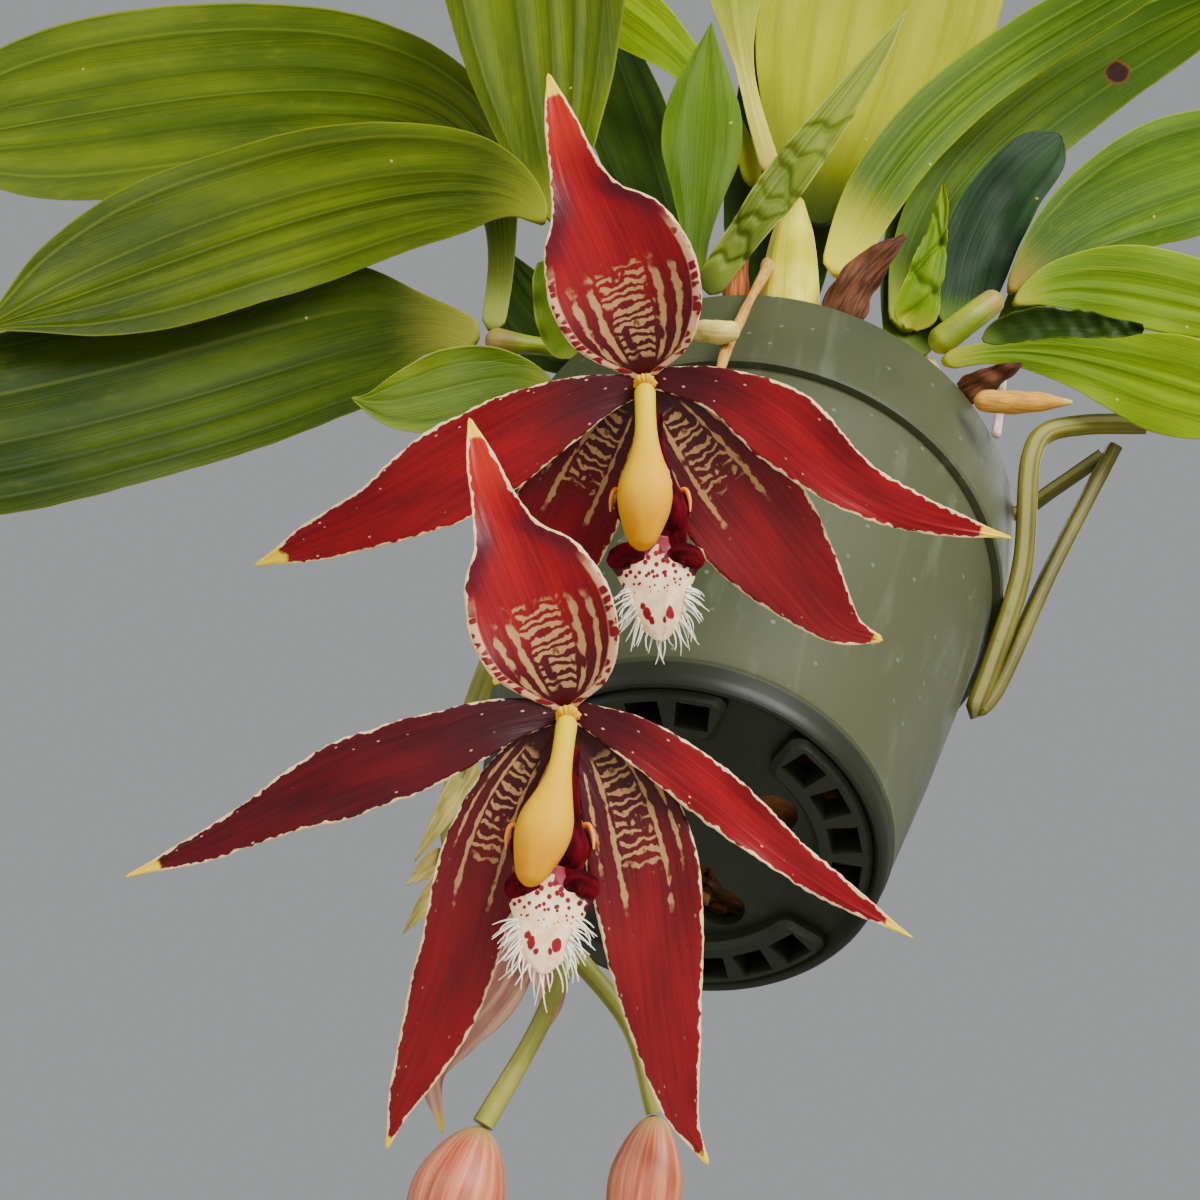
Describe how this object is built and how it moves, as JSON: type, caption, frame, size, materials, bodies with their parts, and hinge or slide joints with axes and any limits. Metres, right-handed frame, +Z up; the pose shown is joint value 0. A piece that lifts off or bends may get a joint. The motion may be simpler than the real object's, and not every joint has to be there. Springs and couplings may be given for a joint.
{
  "type": "potted orchid in bloom",
  "caption": "Flowering orchid in a slotted round plastic pot, hung by a wire clip, with strap leaves above and open starry flowers and buds hanging below the rim.",
  "frame": {"origin": "the upper end of the hanger's strap, where the pot is hung up, 111 mm above the pot's underside and 83 mm out from its axis", "axes": "+Z up along the pot's axis, -Y towards the side where the flower stem hangs over the rim, +X to the hanger's side"},
  "size_m": [0.3028, 0.2453, 0.3578],
  "materials": {
    "pot_plastic": "satin moulded plastic with faint water marks",
    "bark": "rough damp bark chips",
    "hanger_green": "plastic-coated wire, satin",
    "leaf_green": "pleated leaf underside with raised pale keels",
    "leaf_dark": "pleated leaf in shade, satin",
    "leaf_bright": "young yellow-green leaf, satin",
    "bulb_cream": "smooth fleshy bulb, satin",
    "stalk_green": "smooth fleshy stalk, satin",
    "sheath_brown": "dry papery sheath with fibres",
    "root_tan": "dry corky root",
    "tepal_red": "blood-red satin petal tissue with cream margins and yellow tips",
    "column_yellow": "waxy yellow",
    "lip_red": "dark red satin",
    "lip_cream": "cream, spotted red, fringed with fine hairs",
    "bud_pink": "salmon-pink ribbed bud skin"
  },
  "bodies": {
    "root": {"pot": "pot_plastic", "bulb_left": "bulb_cream", "bulb_middle": "bulb_cream", "bulb_front": "bulb_cream", "bulb_right": "bulb_cream", "bulb_back": "bulb_cream", "stalk_left": "stalk_green", "stalk_right": "stalk_green", "potting_mix": "bark", "leaf_left_high": "leaf_green", "leaf_left_mid": "leaf_green", "leaf_left_low": "leaf_green", "leaf_left_small": "leaf_green", "leaf_left_stub": "leaf_green", "leaf_top_left": "leaf_green", "leaf_top_yellow": "leaf_green", "leaf_top_stalked": "leaf_green", "leaf_back_wide": "leaf_green", "leaf_shrivelled": "leaf_green", "leaf_lance": "leaf_green", "leaf_dark_tall": "leaf_dark", "leaf_dark_side": "leaf_dark", "leaf_right_big": "leaf_green", "leaf_right_spot": "leaf_green", "leaf_dark_middle": "leaf_dark", "leaf_dark_right": "leaf_dark", "leaf_right_dark": "leaf_dark", "leaf_crumpled": "leaf_bright", "leaf_fan_upper": "leaf_bright", "leaf_fan_middle": "leaf_bright", "leaf_fan_lower": "leaf_bright", "leaf_curled": "leaf_dark", "leaf_fan_behind": "leaf_bright", "leaf_rear_1": "leaf_green", "leaf_rear_2": "leaf_green", "leaf_rear_3": "leaf_green", "stem_stub": "sheath_brown", "root_orange": "root_tan", "root_pink": "root_tan", "root_thin": "root_tan", "root_club": "root_tan", "sheath_front": "sheath_brown", "sheath_right": "sheath_brown", "flower_stem": "stalk_green", "opening_flower": "bud_pink", "bud_left": "bud_pink", "bud_right": "bud_pink", "flower_1_tepals": "tepal_red", "flower_1_column": "column_yellow", "flower_1_lip_base": "lip_red", "flower_1_lip": "lip_cream", "flower_2_tepals": "tepal_red", "flower_2_column": "column_yellow", "flower_2_lip_base": "lip_red", "flower_2_lip": "lip_cream", "hanger": "hanger_green"}
  },
  "joints": []
}
